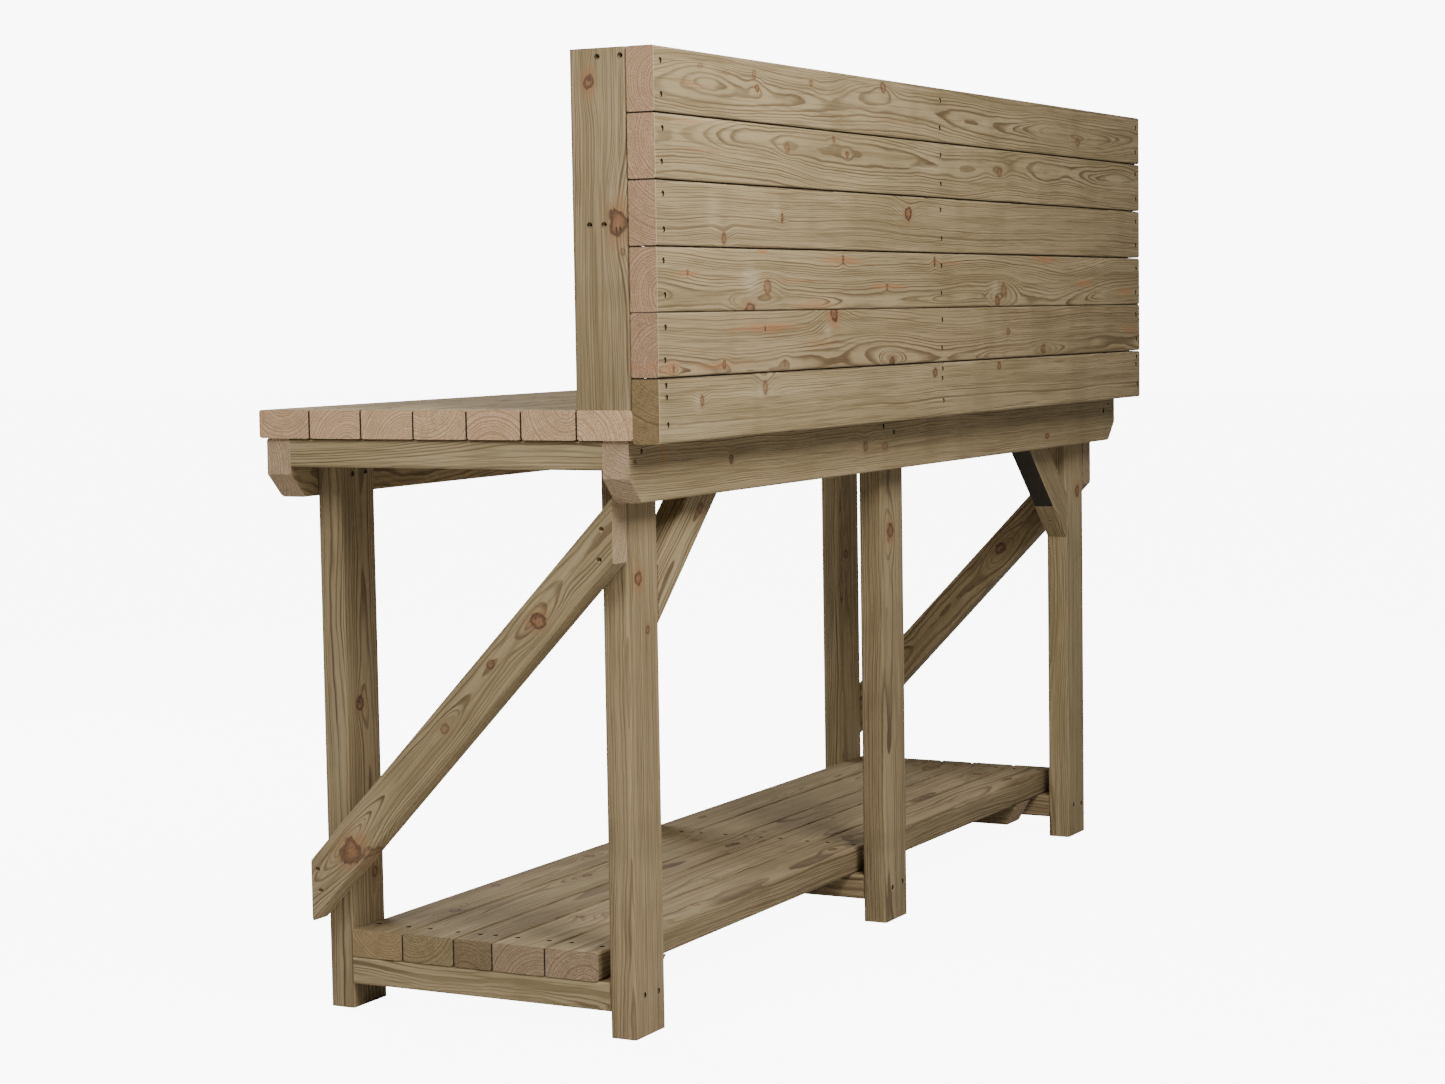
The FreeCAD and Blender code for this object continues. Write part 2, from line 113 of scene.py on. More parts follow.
# Pale, resin-free wood beside a knot: the same five figures.
PALES = {
    "back_board_3": [(0.870, 0.005, 0.030, 0.040, 0.5), (0.655, 0.015, 0.020, 0.024, 0.5)],
    "back_board_4": [(0.752, 0.002, 0.040, 0.034, 1.0), (-0.25, -0.012, 0.030, 0.028, 0.7)],
    "back_board_5": [(0.470, 0.012, 0.028, 0.020, 0.7)],
    "back_board_6": [(0.925, 0.012, 0.022, 0.022, 0.6), (0.715, 0.024, 0.022, 0.024, 0.6)],
    "back_post_right": [(0.045, 0.020, 0.030, 0.016, 0.5)],
}

# The rings: how far the tree's middle lay from the timber's middle, across and through, how much it
# wandered, and how many rings it grew to the metre.
RINGS = {
    "back_board_1": (-0.004, -0.050, 0.9, 260), "back_board_2": (0.012, -0.046, 0.8, 250),
    "back_board_3": (0.090, -0.045, 0.45, 290), "back_board_4": (-0.030, -0.040, 0.8, 230),
    "back_board_5": (-0.034, -0.040, 0.7, 235), "back_board_6": (0.090, -0.040, 0.35, 300),
    "worktop_board_1": (-0.010, 0.060, 0.8, 230), "worktop_board_2": (0.020, -0.045, 0.8, 230),
    "worktop_board_3": (0.030, -0.050, 0.8, 260), "worktop_board_4": (-0.030, 0.050, 0.8, 230),
    "worktop_board_5": (-0.005, -0.045, 0.5, 200), "worktop_board_6": (0.030, 0.030, 0.6, 220),
    "worktop_board_7": (-0.050, -0.030, 0.6, 200), "back_post_right": (0.110, 0.004, 0.25, 225),
    "rear_leg_right": (0.080, 0.030, 0.35, 230), "front_leg_right": (-0.015, 0.045, 0.6, 220),
    "end_brace_right": (0.006, 0.040, 0.55, 210), "front_rail": (0.010, 0.055, 0.7, 230),
    "rear_rail": (0.090, -0.035, 0.35, 280), "upper_cross_rail_right": (0.004, 0.050, 0.9, 230),
    "rear_leg_middle": (0.030, -0.045, 0.5, 220), "rear_leg_left": (0.080, -0.030, 0.4, 230),
}

# Tones: how light a timber is beside the others, and how far it leans from green to brown. For the shelf
# boards and the middle rear leg the darkness is partly painted shade, for the shade under the worktop,
# besides their own browner tone.
TONES_AND_PAINTED_SHADE = {
    "back_board_1": (1.02, 0.35), "back_board_2": (1.05, 0.30), "back_board_3": (1.02, 0.40),
    "back_board_4": (1.03, 0.35), "back_board_5": (0.98, 0.60), "back_board_6": (1.03, 0.35),
    "back_post_right": (0.90, 0.60), "rear_leg_right": (0.91, 0.75), "front_leg_right": (0.84, 0.50),
    "end_brace_right": (1.03, 0.45), "shelf_board_3": (0.60, 0.85), "shelf_board_1": (0.72, 0.55),
    "shelf_board_2": (0.72, 0.40), "shelf_board_4": (0.74, 0.60), "shelf_board_5": (0.78, 0.55),
    "upper_cross_rail_right": (1.05, 0.25), "rear_rail": (1.00, 0.45), "rear_leg_middle": (0.86, 0.55),
}

# What tints the sawn ends. The first name that fits counts.
END_TINTS = {"worktop_board": (1.36, 1.28, 1.20, 1), "back_board_6": (0.52, 0.50, 0.36, 1),
             "back_board": (0.90, 0.80, 0.76, 1), "shelf_board_1": (1.0, 1.0, 0.80, 1),
             "shelf_board_2": (0.85, 0.88, 0.72, 1), "shelf_board_3": (0.85, 0.88, 0.72, 1)}
PLAIN_TINT = (1, 1, 1, 1)


# ---------------------------------------------------------------- how a timber lies

FOOT_SLACK = 0.0005


def lie_of(name):
    """The middle of a timber and its own three directions: along the grain, across, and through."""
    low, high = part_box(name)
    extent = high - low
    middle = (low + high) / 2
    if name.startswith("end_brace"):
        corners = [vertex.co for vertex in NODES[name].data.vertices]
        foot_top = max(corner.z for corner in corners if corner.y - low.y < FOOT_SLACK)
        along = Vector((0, extent.y, high.z - foot_top)).normalized()
        through = Vector((1, 0, 0))
        return middle, along, through.cross(along), through
    if name.startswith("knee_brace"):
        side = 1 if middle.x > 0 else -1
        along = Vector((-side * extent.x, 0, extent.z)).normalized()
        through = Vector((0, 1, 0))
        return middle, along, through.cross(along), through
    order = sorted(range(3), key=lambda axis: -extent[axis])
    along, across, through = (Vector([float(axis == chosen) for axis in range(3)]) for chosen in order)
    return middle, along, across, through


# ---------------------------------------------------------------- wiring shader nodes

class Wiring:
    """Adds shader nodes to one tree and joins them up."""

    def __init__(self, tree):
        self.tree = tree
        self.step = 0

    def node(self, kind, **settings):
        made = self.tree.nodes.new(kind)
        made.location = (180 * (self.step // 5), -220 * (self.step % 5))
        self.step += 1
        for key, value in settings.items():
            setattr(made, key, value)
        return made

    def feed(self, socket, source):
        if source is None:
            return
        if isinstance(source, bpy.types.NodeSocket):
            self.tree.links.new(source, socket)
        else:
            socket.default_value = source

    def sum(self, operation, first, second=None, third=None):
        made = self.node("ShaderNodeMath", operation=operation)
        for socket, source in zip(made.inputs, (first, second, third)):
            self.feed(socket, source)
        return made.outputs[0]

    def vector(self, operation, first, second=None):
        made = self.node("ShaderNodeVectorMath", operation=operation)
        self.feed(made.inputs[0], first)
        self.feed(made.inputs[1], second)
        return made.outputs["Value" if operation in ("LENGTH", "DOT_PRODUCT") else "Vector"]

    def noise(self, place, scale, detail=2.0, output="Fac"):
        made = self.node("ShaderNodeTexNoise")
        self.feed(made.inputs["Vector"], place)
        self.feed(made.inputs["Scale"], scale)
        self.feed(made.inputs["Detail"], detail)
        return made.outputs[output]

    def span(self, value, low, high, to_low=0.0, to_high=1.0, kind="SMOOTHSTEP"):
        made = self.node("ShaderNodeMapRange", interpolation_type=kind)
        for socket, source in zip(made.inputs, (value, low, high, to_low, to_high)):
            self.feed(socket, source)
        return made.outputs[0]

    def mix(self, share, first, second, blend="MIX"):
        made = self.node("ShaderNodeMix", data_type="RGBA", blend_type=blend)
        self.feed(made.inputs["Factor"], share)
        self.feed(made.inputs[6], first)
        self.feed(made.inputs[7], second)
        return made.outputs[2]

    def group(self, tree, **sources):
        made = self.node("ShaderNodeGroup", node_tree=tree)
        for key, source in sources.items():
            self.feed(made.inputs[key.replace("_", " ")], source)
        return made


def new_group(name, inputs, outputs):
    tree = bpy.data.node_groups.new(name, "ShaderNodeTree")
    for key, kind in inputs:
        tree.interface.new_socket(key, in_out="INPUT", socket_type=kind)
    for key, kind in outputs:
        tree.interface.new_socket(key, in_out="OUTPUT", socket_type=kind)
    wiring = Wiring(tree)
    return tree, wiring, wiring.node("NodeGroupInput").outputs, wiring.node("NodeGroupOutput").inputs


NUMBER = "NodeSocketFloat"
ARROW = "NodeSocketVector"
COLOUR = "NodeSocketColor"


# ---------------------------------------------------------------- the wood

def knot_group():
    """One knot: how far a point is from its middle in knot sizes, and how far it pushes the rings."""
    tree, wire, given, result = new_group(
        "Knot", [("Place", ARROW), ("Middle", ARROW), ("Shrink", ARROW), ("Push", NUMBER), ("Depth", NUMBER)],
        [("Distance", NUMBER), ("Swell", NUMBER), ("Share", NUMBER), ("Stain", NUMBER)])
    away = wire.vector("SUBTRACT", given["Place"], given["Middle"])
    scaled = wire.vector("MULTIPLY", away, given["Shrink"])
    lobes = wire.sum("MULTIPLY_ADD", wire.noise(given["Place"], 60.0, 1.0), 1.0, -0.5)
    splinters = wire.sum("MULTIPLY_ADD", wire.noise(given["Place"], 330.0, 2.0), 0.45, -0.22)
    distance = wire.sum("ADD", wire.vector("LENGTH", scaled), wire.sum("ADD", lobes, splinters))
    wire.feed(result["Distance"], distance)
    wire.feed(result["Share"], wire.sum("MULTIPLY", wire.span(distance, 1.10, 0.86), given["Depth"]))
    wire.feed(result["Stain"], wire.sum("MULTIPLY", wire.span(distance, 2.4, 0.95), given["Depth"]))
    wide = wire.vector("LENGTH", wire.vector("MULTIPLY", scaled, (0.16, 0.30, 0.3)))
    hill = wire.span(wide, 1.0, 0.0)
    wire.feed(result["Swell"], wire.sum("MULTIPLY", hill, given["Push"]))
    return tree


def blush_group():
    """One resin blush: a long soft-edged streak."""
    tree, wire, given, result = new_group(
        "Resin blush", [("Place", ARROW), ("Middle", ARROW), ("Shrink", ARROW), ("Depth", NUMBER)],
        [("Share", NUMBER)])
    away = wire.vector("SUBTRACT", given["Place"], given["Middle"])
    distance = wire.vector("LENGTH", wire.vector("MULTIPLY", away, given["Shrink"]))
    stretched = wire.vector("MULTIPLY", given["Place"], (14.0, 130.0, 130.0))
    ragged = wire.sum("MULTIPLY_ADD", wire.noise(stretched, 1.0, 3.0), 1.6, -0.8)
    soft = wire.span(wire.sum("ADD", distance, ragged), 1.15, 0.1)
    wire.feed(result["Share"], wire.sum("MULTIPLY", soft, given["Depth"]))
    return tree


def pine_group():
    """Sawn, pressure-treated pine in the timber's own directions: rings round a wandering pith."""
    tree, wire, given, result = new_group(
        "Treated pine",
        [("Place", ARROW), ("Shift", ARROW), ("Pith", ARROW), ("Wander", ARROW), ("Rings", NUMBER),
         ("Swell", NUMBER), ("Knot", NUMBER), ("Knot Share", NUMBER), ("Stain", NUMBER), ("Blush", NUMBER),
         ("Pale", NUMBER), ("End", NUMBER), ("Arris", NUMBER), ("Seam", NUMBER), ("End Tint", COLOUR),
         ("Light", NUMBER), ("Brown", NUMBER)],
        [("Colour", COLOUR), ("Roughness", NUMBER), ("Height", NUMBER)])
    place = given["Place"]
    own = wire.vector("ADD", place, given["Shift"])
    wander = wire.noise(wire.vector("MULTIPLY", own, (1.7, 3.0, 3.0)), 1.0, 1.0, "Color")
    wander = wire.vector("MULTIPLY", wire.vector("SUBTRACT", wander, (0.5, 0.5, 0.5)), given["Wander"])
    ripple = wire.noise(wire.vector("MULTIPLY", own, (9.0, 26.0, 26.0)), 1.0, 2.0)
    across = wire.vector("MULTIPLY", wire.vector("SUBTRACT", place, given["Pith"]), (0.0, 1.0, 1.0))
    radius = wire.vector("LENGTH", wire.vector("ADD", across, wander))
    radius = wire.sum("MULTIPLY_ADD", ripple, 0.0065, radius)
    radius = wire.sum("ADD", radius, given["Swell"])
    along = wire.node("ShaderNodeSeparateXYZ")
    wire.feed(along.inputs[0], place)
    radius = wire.sum("MULTIPLY_ADD", along.outputs[0], 0.0035, radius)

    # Rings: slow growth and fast growth follow each other, each ring darkens towards its rim, and some
    # years left a darker rim than others.
    growth = wire.node("ShaderNodeTexNoise", noise_dimensions="1D")
    wire.feed(growth.inputs["W"], wire.sum("MULTIPLY", radius, 70.0))
    wire.feed(growth.inputs["Scale"], 1.0)
    wire.feed(growth.inputs["Detail"], 1.0)
    count = wire.sum("MULTIPLY_ADD", growth.outputs["Fac"], 3.4, wire.sum("MULTIPLY", radius, given["Rings"]))
    ring = wire.sum("FRACT", count)
    year = wire.node("ShaderNodeTexWhiteNoise", noise_dimensions="1D")
    wire.feed(year.inputs["W"], wire.sum("FLOOR", count))
    rim = wire.sum("MULTIPLY", wire.span(ring, 0.40, 0.82), wire.span(ring, 1.0, 0.93))
    late = wire.sum("MULTIPLY", rim, wire.span(year.outputs["Value"], 0.0, 0.7, 0.40, 1.0, "LINEAR"))
    patch = wire.noise(wire.vector("MULTIPLY", own, (3.0, 22.0, 22.0)), 1.0, 3.0)
    late = wire.sum("MULTIPLY", late, wire.span(patch, 0.34, 0.60, 0.58, 1.0))

    # Fibres, the streaks they gather into, and the marks of the sticks between which the timber dried.
    fibre = wire.noise(wire.vector("MULTIPLY", own, (22.0, 900.0, 900.0)), 1.0, 2.0)
    streak = wire.noise(wire.vector("MULTIPLY", own, (2.4, 70.0, 70.0)), 1.0, 4.0)
    thread = wire.noise(wire.vector("MULTIPLY", own, (7.0, 260.0, 260.0)), 1.0, 3.0)
    cloud = wire.noise(wire.vector("MULTIPLY", own, (3.0, 9.0, 9.0)), 1.0, 3.0)
    stick = wire.noise(wire.vector("MULTIPLY", own, (9.0, 2.0, 2.0)), 1.0, 1.0)

    early_colour = wire.mix(given["Brown"], (0.435, 0.345, 0.190, 1), (0.430, 0.310, 0.170, 1))
    late_colour = wire.mix(given["Brown"], (0.115, 0.076, 0.032, 1), (0.125, 0.066, 0.028, 1))
    colour = wire.mix(wire.span(cloud, 0.38, 0.66, 0.0, 0.50), early_colour, (0.315, 0.242, 0.118, 1))
    colour = wire.mix(wire.span(stick, 0.52, 0.68, 0.0, 0.28), colour, (0.250, 0.195, 0.098, 1))
    colour = wire.mix(wire.span(given["Pale"], 0.0, 0.9, 0.0, 0.60), colour, (0.540, 0.445, 0.290, 1))
    grain = wire.sum("MULTIPLY_ADD", given["Pale"], -0.45, 0.94)
    colour = wire.mix(wire.sum("MULTIPLY", late, grain), colour, late_colour)
    colour = wire.mix(wire.span(streak, 0.48, 0.74, 0.0, 0.60), colour, (0.215, 0.152, 0.070, 1))
    colour = wire.mix(wire.span(streak, 0.42, 0.24, 0.0, 0.45), colour, (0.545, 0.440, 0.270, 1))
    colour = wire.mix(wire.span(thread, 0.50, 0.72, 0.0, 0.60), colour, (0.165, 0.112, 0.050, 1))
    colour = wire.mix(wire.span(fibre, 0.52, 0.82, 0.0, 0.34), colour, (0.170, 0.120, 0.060, 1))
    colour = wire.mix(wire.span(fibre, 0.42, 0.18, 0.0, 0.25), colour, (0.560, 0.465, 0.300, 1))
    # Painted highlight: a pale line round the ends of boards, where the rounded arris catches light, together
    # with the paler sanded wood there.
    colour = wire.mix(wire.sum("MULTIPLY", given["Arris"], 0.50), colour, (0.620, 0.520, 0.350, 1))

    # End grain: drier and pinker, with thin dark rings and a speckle of open pores.
    speckle = wire.noise(wire.vector("MULTIPLY", own, (300.0, 520.0, 520.0)), 1.0, 2.0)
    mottle = wire.noise(wire.vector("MULTIPLY", own, (30.0, 60.0, 60.0)), 1.0, 4.0)
    dry = wire.mix(given["Brown"], (0.520, 0.390, 0.240, 1), (0.520, 0.355, 0.235, 1))
    dark_ring = wire.sum("MULTIPLY", wire.sum("MULTIPLY", wire.span(ring, 0.25, 0.85), rim), 0.68)
    end_colour = wire.mix(dark_ring, dry, (0.250, 0.140, 0.070, 1))
    end_colour = wire.mix(wire.span(mottle, 0.46, 0.66, 0.0, 0.38), end_colour, (0.330, 0.230, 0.120, 1))
    end_colour = wire.mix(wire.span(speckle, 0.47, 0.70, 0.0, 0.60), end_colour, (0.210, 0.130, 0.068, 1))
    end_colour = wire.mix(wire.span(speckle, 0.42, 0.25, 0.0, 0.40), end_colour, (0.680, 0.530, 0.380, 1))
    end_colour = wire.mix(1.0, end_colour, given["End Tint"], "MULTIPLY")
    colour = wire.mix(given["End"], colour, end_colour)

    # Resin blushes, the stained wood about a knot, and the knot itself: a dark rim, rings and splits.
    colour = wire.mix(wire.sum("MULTIPLY", given["Blush"], 0.62), colour, (0.430, 0.180, 0.070, 1))
    colour = wire.mix(wire.sum("MULTIPLY", given["Stain"], 0.42), colour, (0.300, 0.165, 0.075, 1))
    heart = wire.span(given["Knot"], 0.80, 0.25)
    rings = wire.sum("PINGPONG", wire.sum("MULTIPLY", given["Knot"], 2.6), 0.5)
    split = wire.noise(wire.vector("MULTIPLY", own, (120.0, 330.0, 60.0)), 1.0, 1.0)
    knot_colour = wire.mix(heart, (0.085, 0.040, 0.018, 1), (0.330, 0.165, 0.080, 1))
    knot_colour = wire.mix(wire.sum("MULTIPLY", rings, 0.9), knot_colour, (0.150, 0.072, 0.034, 1))
    knot_colour = wire.mix(wire.span(split, 0.58, 0.68), knot_colour, (0.022, 0.012, 0.007, 1))
    knot = given["Knot Share"]
    colour = wire.mix(knot, colour, knot_colour)
    # Painted shade: the seams beside other boards and the walls of screw holes are darkened nearly black,
    # where the real gaps and bores lie in shade.
    colour = wire.mix(given["Seam"], colour, (0.030, 0.022, 0.012, 1))

    light = wire.node("ShaderNodeHueSaturation")
    wire.feed(light.inputs["Value"], given["Light"])
    wire.feed(light.inputs["Color"], colour)
    wire.feed(result["Colour"], light.outputs[0])

    roughness = wire.sum("MULTIPLY_ADD", late, -0.10, 0.82)
    wire.feed(result["Roughness"], wire.sum("MULTIPLY_ADD", knot, -0.22, roughness))
    height = wire.sum("MULTIPLY_ADD", late, 0.45, wire.sum("MULTIPLY", fibre, 0.7))
    height = wire.sum("MULTIPLY_ADD", wire.sum("MULTIPLY", speckle, given["End"]), 1.2, height)
    wire.feed(result["Height"], wire.sum("MULTIPLY_ADD", knot, 0.9, height))
    return tree


KNOT = knot_group()
BLUSH = blush_group()
PINE = pine_group()

# How far from straight on a surface may look and still count as an end, and as the wall of a hole.
END_COSINE = 0.60
END_FADE = 0.15
WALL_COSINE = 0.5

WANDER = 0.085
END_DEEP = 0.004
EDGE_WIDE = 0.006
# How wide the pale line round a board's end is, painted highlight and sanded wood together.
ARRIS_HIGHLIGHT_WIDE = 0.0018
# How far in from a board's side the painted shade of a seam begins, and where it is darkest.
SEAM_SHADE_DEEP = 0.0014
SEAM_SHADE_DARKEST = 0.0002
# A knot this wide pushes the rings aside by its whole width, a smaller one by less.
FULL_KNOT = 0.012
# Marks reach this far through, which is right through every timber.
MARK_THROUGH = 0.30
# Cuts that slant reach further from the end than END_DEEP.
SLANTED_ENDS = {"end_brace": 0.10, "knee_brace": 0.10, "front_rail": 0.042, "rear_rail": 0.042,
                "shelf_cleat": 0.028}


def reciprocal(sizes):
    return tuple(1.0 / size for size in sizes)


def end_reach(name):
    """How far from the end of a timber its end cut can lie."""
    return next((reach for start, reach in SLANTED_ENDS.items() if name.startswith(start)), END_DEEP)


def facing(wire, direction):
    """How squarely the surface looks along a direction, or against it."""
    normal = wire.node("ShaderNodeNewGeometry").outputs["Normal"]
    return wire.sum("ABSOLUTE", wire.vector("DOT_PRODUCT", normal, tuple(direction)))


def end_share(wire, name, apart, along, long):
    """Where a timber shows its end grain: near its ends, on the faces that look along it."""
    cut = wire.span(facing(wire, along), END_COSINE, END_COSINE + END_FADE)
    near_end = wire.sum("GREATER_THAN", wire.sum("ABSOLUTE", apart[0]), long / 2 - end_reach(name))
    return wire.sum("MULTIPLY", cut, near_end)


def hole_painted_shade(wire, name, apart, through, long, wide):
    """Where painted shade darkens the wall of a screw hole: turned away from the face, yet far from edges and
    ends.

    Known fault: the middle of a knee brace's box lies on its edge, so that the brace measures twice its
    width here and most of its underside counts too.
    """
    turned = wire.sum("LESS_THAN", facing(wire, through), WALL_COSINE)
    off_edges = wire.sum("LESS_THAN", wire.sum("ABSOLUTE", apart[1]), wide / 2 - EDGE_WIDE)
    off_ends = wire.sum("LESS_THAN", wire.sum("ABSOLUTE", apart[0]), long / 2 - end_reach(name))
    return wire.sum("MULTIPLY", wire.sum("MULTIPLY", turned, off_edges), off_ends)


def arris_painted_highlight(wire, name, apart, end, long):
    """Where a pale line is painted round the end of a board: partly a painted highlight on the rounded arris,
    partly the paler sanded wood there.
    """
    if not name.startswith(("back_board", "worktop_board")):
        return 0.0
    at_end = wire.sum("GREATER_THAN", wire.sum("ABSOLUTE", apart[0]), long / 2 - ARRIS_HIGHLIGHT_WIDE)
    return wire.sum("MULTIPLY", at_end, wire.sum("SUBTRACT", 1.0, end))


def seam_painted_shade(wire, name, apart, wide):
    """Painted shade in the seams: darkens the sides that have a board beside them, where the real gaps lie in
    shade.
    """
    family = name.rstrip("0123456789")
    if not family.endswith("board_"):
        return 0.0
    number = int(name[len(family):])
    upward = -1 if family == "back_board_" else 1
    begins, darkest = wide / 2 - SEAM_SHADE_DEEP, wide / 2 - SEAM_SHADE_DARKEST
    shaded_seams = [wire.span(wire.sum("MULTIPLY", apart[1], float(upward * step)), begins, darkest)
             for step in (-1, 1) if f"{family}{number + step}" in NODES]
    return shaded_seams[0] if len(shaded_seams) == 1 else wire.sum("MAXIMUM", *shaded_seams)


def gathered(wire, operation, so_far, value):
    return value if so_far is None else wire.sum(operation, so_far, value)


def marks(wire, place, spots):
    """All the soft marks of one kind on a timber, as one share. It is nought where there are none."""
    share = None
    for where, aside, length, width, depth in spots:
        mark = wire.group(BLUSH, Place=place, Middle=(where, aside, 0.0), Depth=depth,
                          Shrink=reciprocal((length, width, MARK_THROUGH)))
        share = gathered(wire, "MAXIMUM", share, mark.outputs["Share"])
    return 0.0 if share is None else share


def chance_knots(long, wide, dice):
    """A few small knots for a timber that has none of its own in KNOTS."""
    return [(dice.uniform(-0.46, 0.46) * long, dice.uniform(-0.36, 0.36) * wide, dice.uniform(0.006, 0.013),
             dice.uniform(0.005, 0.011), dice.uniform(0.5, 0.95)) for _ in range(1 + int(long / 0.55))]


def pine(name, dice):
    """The material of one timber: its own stretch of tree, with its own knots and resin."""
    middle, along, across, through = lie_of(name)
    corners = [vertex.co - middle for vertex in NODES[name].data.vertices]
    long = 2 * max(abs(corner.dot(along)) for corner in corners)
    wide = 2 * max(abs(corner.dot(across)) for corner in corners)
    turn = Matrix((along, across, through)).transposed().to_euler()
    material = bpy.data.materials.new(f"pine_{name}")
    material.use_nodes = True
    tree = material.node_tree
    tree.nodes.clear()
    wire = Wiring(tree)
    object_place = wire.node("ShaderNodeTexCoord").outputs["Object"]
    mapping = wire.node("ShaderNodeMapping", vector_type="TEXTURE")
    wire.feed(mapping.inputs["Vector"], object_place)
    mapping.inputs["Location"].default_value = middle
    mapping.inputs["Rotation"].default_value = turn
    place = mapping.outputs[0]

    shift = tuple(dice.uniform(-40.0, 40.0) for _ in range(3))
    rings = RINGS.get(name, (dice.uniform(-0.05, 0.05), dice.choice((-1, 1)) * dice.uniform(0.03, 0.06),
                             dice.uniform(0.4, 0.9), dice.uniform(200, 270)))
    light, brown = TONES_AND_PAINTED_SHADE.get(name, (dice.uniform(0.90, 1.06), dice.uniform(0.2, 0.8)))

    swell = nearest = knot_share = stain = None
    for where, aside, length, width, dark in KNOTS.get(name) or chance_knots(long, wide, dice):
        push = -width * min(1.0, width / FULL_KNOT)
        knot = wire.group(KNOT, Place=place, Middle=(where, aside, 0.0), Push=push, Depth=dark,
                          Shrink=reciprocal((length, width, MARK_THROUGH))).outputs
        swell = gathered(wire, "ADD", swell, knot["Swell"])
        nearest = gathered(wire, "MINIMUM", nearest, knot["Distance"])
        knot_share = gathered(wire, "MAXIMUM", knot_share, knot["Share"])
        stain = gathered(wire, "MAXIMUM", stain, knot["Stain"])
    apart_node = wire.node("ShaderNodeSeparateXYZ")
    wire.feed(apart_node.inputs[0], place)
    apart = apart_node.outputs
    end = end_share(wire, name, apart, along, long)
    tint = next((tint for start, tint in END_TINTS.items() if name.startswith(start)), PLAIN_TINT)
    # Painted shade: the seams beside other boards and the walls of screw holes are darkened.
    seam_shade = seam_painted_shade(wire, name, apart, wide)
    hole_shade = hole_painted_shade(wire, name, apart, through, long, wide)
    wood = wire.group(
        PINE, Place=place, Shift=shift, Pith=(0.0, rings[0], rings[1]), Rings=float(rings[3]),
        Wander=(0.0, WANDER * rings[2], WANDER * rings[2]), Swell=swell, Knot=nearest, Knot_Share=knot_share,
        Stain=stain, Blush=marks(wire, place, BLUSHES.get(name, ())),
        Pale=marks(wire, place, PALES.get(name, ())), End=end, End_Tint=tint, Light=light, Brown=brown,
        Arris=arris_painted_highlight(wire, name, apart, end, long), Seam=wire.sum("MAXIMUM", seam_shade, hole_shade))
    bump = wire.node("ShaderNodeBump")
    bump.inputs["Strength"].default_value = 0.55
    bump.inputs["Distance"].default_value = 0.0006
    wire.feed(bump.inputs["Height"], wood.outputs["Height"])
    shader = wire.node("ShaderNodeBsdfPrincipled")
    wire.feed(shader.inputs["Base Color"], wood.outputs["Colour"])
    wire.feed(shader.inputs["Roughness"], wood.outputs["Roughness"])
    wire.feed(shader.inputs["Normal"], bump.outputs[0])
    shader.inputs["Specular IOR Level"].default_value = 0.45
    output = wire.node("ShaderNodeOutputMaterial")
    wire.feed(output.inputs["Surface"], shader.outputs[0])
    return material


dice = random.Random(45)
for name in TIMBERS:
    NODES[name].material_slots[0].material = pine(name, dice)


# ---------------------------------------------------------------- the screws

def screw_steel():
    """Dark bronze-coated steel, a little dusty and scuffed, made near black partly as painted shade for the
    shadow over the sunk heads.
    """
    material = bpy.data.materials.new("coated_screw_steel")
    material.use_nodes = True
    tree = material.node_tree
    tree.nodes.clear()
    wire = Wiring(tree)
    place = wire.node("ShaderNodeTexCoord").outputs["Object"]
    dust = wire.noise(place, 700.0, 3.0)
    patch = wire.noise(place, 160.0, 2.0)
    # Near-black: the dark coating of the screws together with painted shade for the shadow over their sunk
    # heads.
    colour = wire.mix(wire.span(patch, 0.35, 0.65), (0.026, 0.018, 0.011, 1), (0.050, 0.034, 0.020, 1))
    colour = wire.mix(wire.span(dust, 0.50, 0.75, 0.0, 0.35), colour, (0.110, 0.085, 0.050, 1))
    bump = wire.node("ShaderNodeBump")
    bump.inputs["Strength"].default_value = 0.3
    bump.inputs["Distance"].default_value = 0.0002
    wire.feed(bump.inputs["Height"], dust)
    shader = wire.node("ShaderNodeBsdfPrincipled")
    wire.feed(shader.inputs["Base Color"], colour)
    wire.feed(shader.inputs["Roughness"], wire.span(dust, 0.3, 0.7, 0.38, 0.62))
    wire.feed(shader.inputs["Normal"], bump.outputs[0])
    shader.inputs["Metallic"].default_value = 0.35
    output = wire.node("ShaderNodeOutputMaterial")
    wire.feed(output.inputs["Surface"], shader.outputs[0])
    return material


def deselect():
    if bpy.context.object and bpy.context.object.mode != "OBJECT":
        bpy.ops.object.mode_set(mode="OBJECT")
    bpy.ops.object.select_all(action="DESELECT")


def select_in_mesh(piece, chosen):
    """Select the faces of the piece being edited for which chosen(face) is true."""
    mesh = bmesh.from_edit_mesh(piece.data)
    for face in mesh.faces:
        face.select_set(False)
    for face in mesh.faces:
        if chosen(face):
            face.select_set(True)
    mesh.select_flush_mode()
    bmesh.update_edit_mesh(piece.data)


HEAD_SIDES = 12
HEAD_RADIUS = 0.0043
HEAD_RISE = 0.0034
SHANK_RADIUS = 0.0019
SCREW_LONG = 0.080
POINT_LONG = 0.008
POINT_SHARE = 0.08
RECESS_INSET = 0.0019
RECESS_DEEP = 0.0018
RECESS_TAPER = 0.8
LOBE_DRAWN_IN = 0.70
SAME_CORNER = 0.00001
TURN_BETWEEN_SCREWS = math.radians(47)


